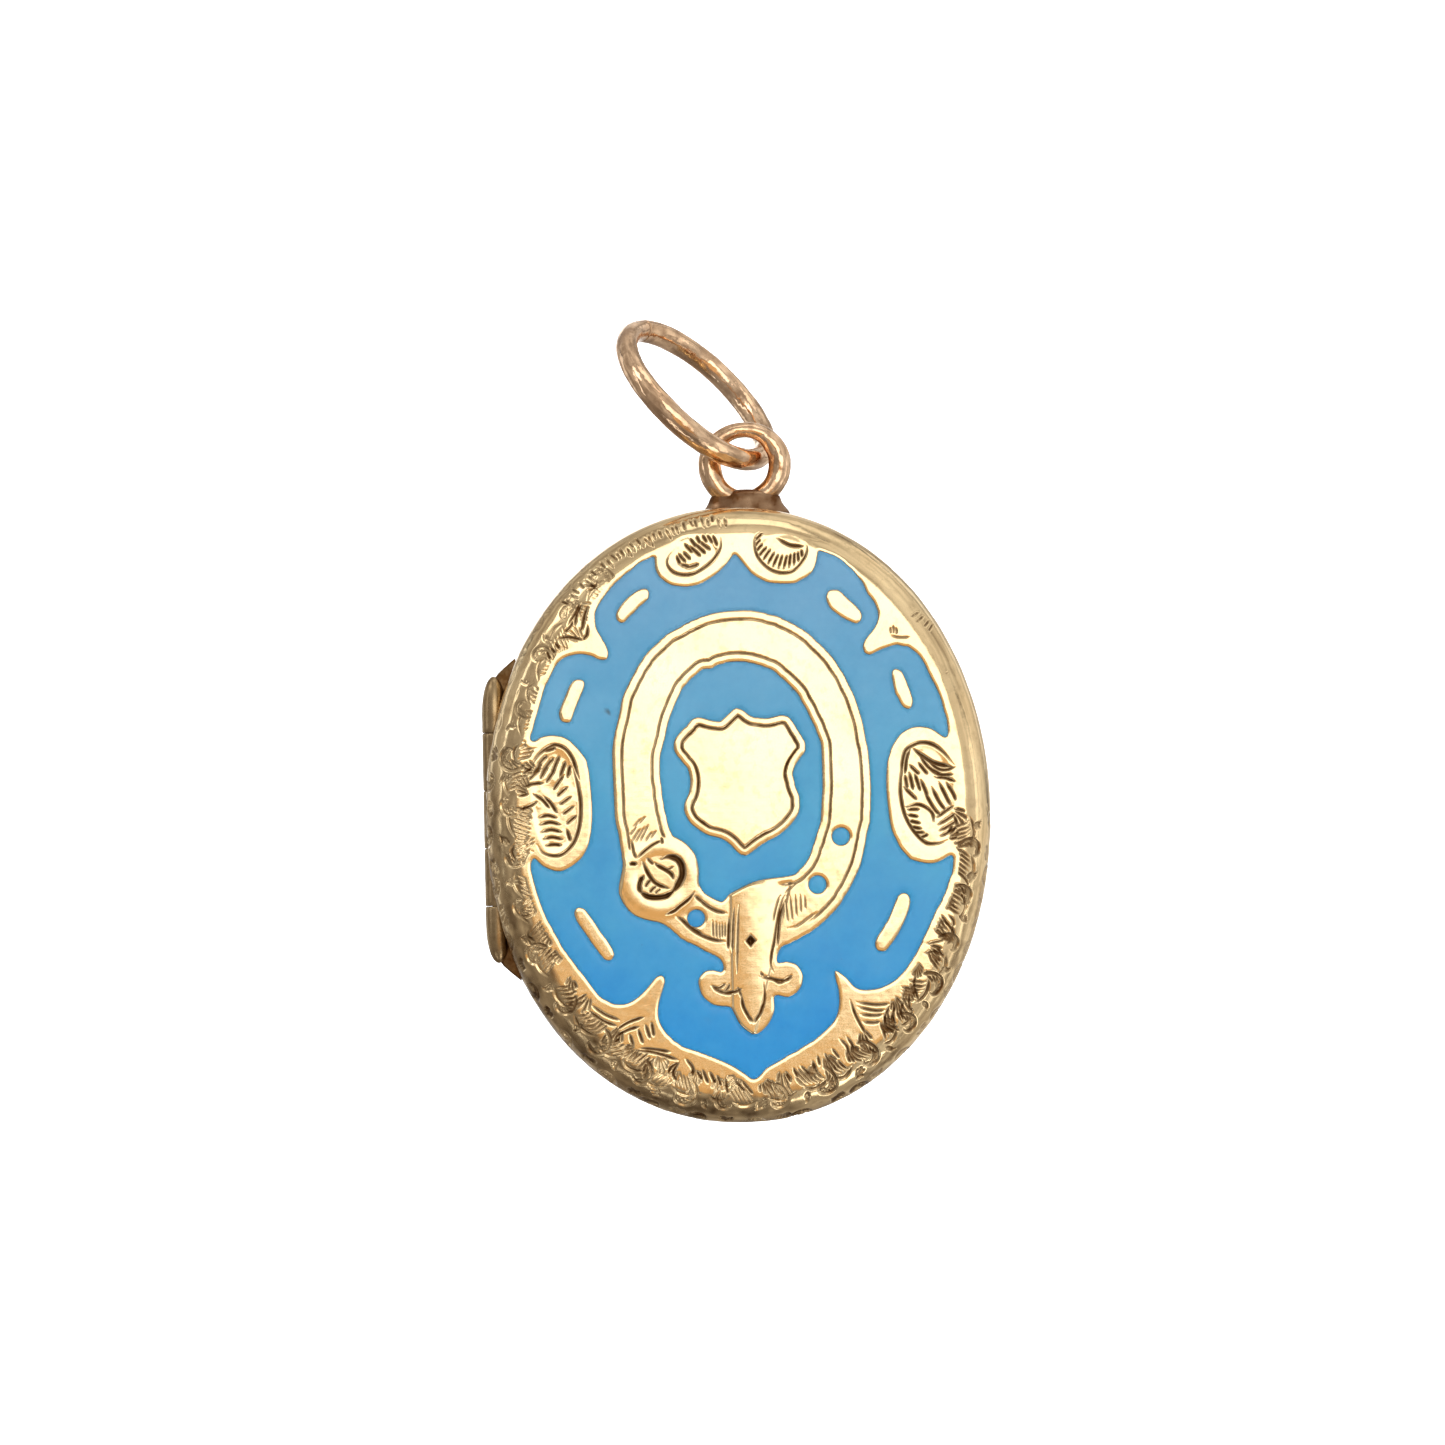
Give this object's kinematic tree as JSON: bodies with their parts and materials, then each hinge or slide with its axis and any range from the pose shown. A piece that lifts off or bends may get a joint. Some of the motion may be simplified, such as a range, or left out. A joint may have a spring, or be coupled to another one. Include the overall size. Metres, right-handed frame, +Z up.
{
  "type": "enamelled oval locket",
  "caption": "Oval hinged photograph locket with a blue enamelled strap-and-shield front, glazed recesses inside, a bow and a loose jump ring",
  "frame": {"origin": "centre of the eye of the bow at the top of the case", "axes": "+Z up from the case to the bow and ring, +Y out of the plain back, enamelled front faces -Y, +X to the viewer's right with the hinge on -X"},
  "size_m": [0.0223, 0.0089, 0.0357],
  "materials": {
    "yellow_gold": "polished, engraved",
    "rose_gold": "polished",
    "blue_enamel": "glossy vitreous enamel",
    "crystal": "clear",
    "card": "plain blank card"
  },
  "bodies": {
    "back_case": {"back_cover": "yellow_gold", "back_rim": "yellow_gold", "back_bezel": "yellow_gold", "back_glass": "crystal", "back_picture": "card", "hinge_knuckles_back": "yellow_gold", "hinge_pin": "yellow_gold", "bow_foot": "rose_gold", "bow_eye": "rose_gold"},
    "front_case": {"front_cover": "yellow_gold", "enamel_field": "blue_enamel", "enamel_centre": "blue_enamel", "enamel_strap_holes": "blue_enamel", "front_rim": "yellow_gold", "front_bezel": "yellow_gold", "front_glass": "crystal", "front_picture": "card", "hinge_knuckles_front": "yellow_gold"},
    "snap_spring": {"snap_tongue": "yellow_gold"},
    "jump_ring": {"jump_ring": "rose_gold"}
  },
  "joints": [
    {"name": "cover_hinge", "type": "hinge", "parent": "back_case", "child": "front_case", "pos_m": [-0.01132, -0.00095, -0.01554], "axis": [0, 0, -1], "range_deg": [0, 125]},
    {"name": "ring_swing", "type": "hinge", "parent": "back_case", "child": "jump_ring", "pos_m": [0, 0, 0], "axis": [0, 1, 0], "range_deg": [-45, 90]},
    {"name": "snap_flex", "type": "slide", "parent": "front_case", "child": "snap_spring", "axis": [-1, 0, 0], "range_m": [0, 0.00015], "stiffness_N_per_m": 300}
  ]
}
